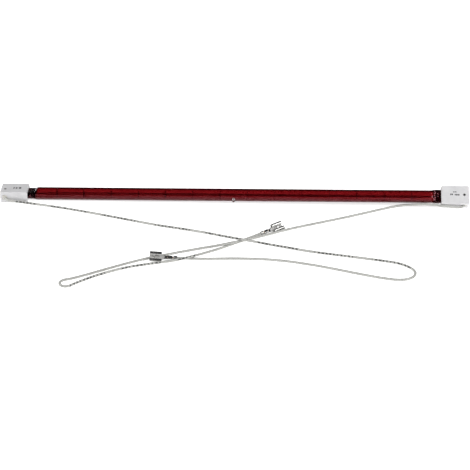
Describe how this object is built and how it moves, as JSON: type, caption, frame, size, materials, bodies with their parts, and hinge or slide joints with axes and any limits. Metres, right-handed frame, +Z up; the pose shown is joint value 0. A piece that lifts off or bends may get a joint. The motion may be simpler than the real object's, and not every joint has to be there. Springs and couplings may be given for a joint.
{
  "type": "quartz infrared heating tube",
  "caption": "Ruby quartz halogen heating tube with a central coil, flattened ends in ceramic caps and an insulated lead with a push-on terminal from each cap.",
  "frame": {"origin": "on the surface that the lamp lies on, below the middle of the lamp without its leads", "axes": "+X along the lamp from the left cap to the right cap, +Z up, the leads lie on the -Y side"},
  "size_m": [0.3751, 0.1432, 0.0171],
  "materials": {
    "ruby_quartz": "clear ruby glass",
    "tungsten": "dark drawn wire",
    "molybdenum": "bright foil and pin",
    "nickel": "crimped sleeve",
    "copper": "tinned strands",
    "cement": "dry ceramic cement",
    "ceramic": "white steatite",
    "insulation": "braided white sleeve",
    "tinned_brass": "tinned sheet"
  },
  "bodies": {
    "root": {"cap_conductor_left": "copper", "cap_conductor_right": "copper", "cement_left": "cement", "cement_right": "cement", "ceramic_cap_left": "ceramic", "ceramic_cap_right": "ceramic", "coil_filament": "tungsten", "crimp_conductor_left": "copper", "crimp_conductor_right": "copper", "ferrule_left": "nickel", "ferrule_right": "nickel", "inner_lead_left": "tungsten", "inner_lead_right": "tungsten", "lead_left": "insulation", "lead_right": "insulation", "outer_pin_left": "molybdenum", "outer_pin_right": "molybdenum", "quartz_envelope": "ruby_quartz", "seal_foil_left": "molybdenum", "seal_foil_right": "molybdenum", "support_01": "tungsten", "support_02": "tungsten", "support_03": "tungsten", "support_04": "tungsten", "support_05": "tungsten", "support_06": "tungsten", "support_07": "tungsten", "support_08": "tungsten", "support_09": "tungsten", "support_10": "tungsten", "support_11": "tungsten", "support_12": "tungsten", "support_13": "tungsten", "support_14": "tungsten", "terminal_left": "tinned_brass", "terminal_right": "tinned_brass"}
  },
  "joints": []
}
